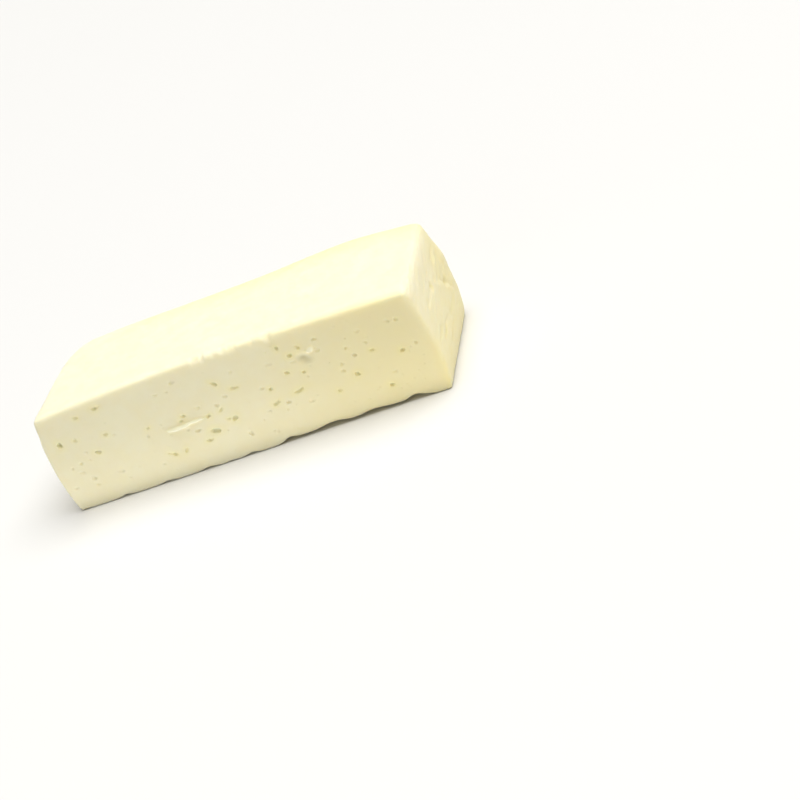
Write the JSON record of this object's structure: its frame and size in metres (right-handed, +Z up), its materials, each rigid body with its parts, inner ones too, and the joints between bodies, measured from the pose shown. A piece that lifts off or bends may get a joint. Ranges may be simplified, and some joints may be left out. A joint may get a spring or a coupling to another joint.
{
  "type": "bar of coalho cheese",
  "caption": "Bar of firm fresh cheese with small eyes in its flat cut face, and a smooth, softly bulging pressed skin on the top, ends and back.",
  "frame": {"origin": "on the surface the bar lies on, below the centre of its bounding box", "axes": "+X along the bar's length, +Y from the cut face to the back, +Z up"},
  "size_m": [0.1854, 0.0738, 0.0517],
  "materials": {
    "fresh_cheese": "satin"
  },
  "bodies": {
    "root": {"coalho_cheese_bar": "fresh_cheese"}
  },
  "joints": []
}
